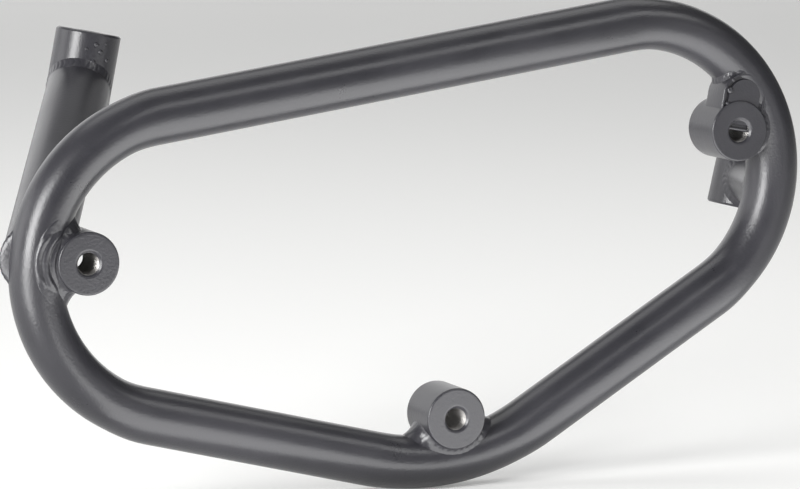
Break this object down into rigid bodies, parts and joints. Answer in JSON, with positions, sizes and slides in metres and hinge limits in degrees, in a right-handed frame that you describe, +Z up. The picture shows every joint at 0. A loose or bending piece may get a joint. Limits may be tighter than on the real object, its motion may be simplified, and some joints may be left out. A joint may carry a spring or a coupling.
{
  "type": "pannier frame",
  "caption": "Welded side pannier frame for a motorbike: closed loop of bent steel tube with threaded case bosses, carried by a strut and a stub that end in bolt sleeves.",
  "frame": {"origin": "on the axis of the left case boss, in the middle plane of the loop tube", "axes": "+X along the loop towards its higher end, +Z up, -Y the way the case bosses face, away from the bike"},
  "size_m": [0.2915, 0.131, 0.158],
  "materials": {
    "powder_coat": "satin black powder coat on steel",
    "coated_weld": "satin black powder coat over weld beads",
    "tapped_thread": "machined thread, lightly oiled"
  },
  "bodies": {
    "root": {"loop_tube": "powder_coat", "loop_closing_weld": "powder_coat", "boss_left": "powder_coat", "boss_lower": "powder_coat", "boss_upper": "powder_coat", "gusset_upper": "powder_coat", "strut_tube": "powder_coat", "strut_sleeve": "powder_coat", "stub_tube": "powder_coat", "stub_sleeve": "powder_coat", "weld_boss_left": "coated_weld", "weld_boss_lower": "coated_weld", "weld_boss_upper": "coated_weld", "weld_gusset": "coated_weld", "weld_strut_loop": "coated_weld", "weld_strut_sleeve": "coated_weld", "weld_stub_loop": "coated_weld", "weld_stub_sleeve": "coated_weld"}
  },
  "joints": []
}
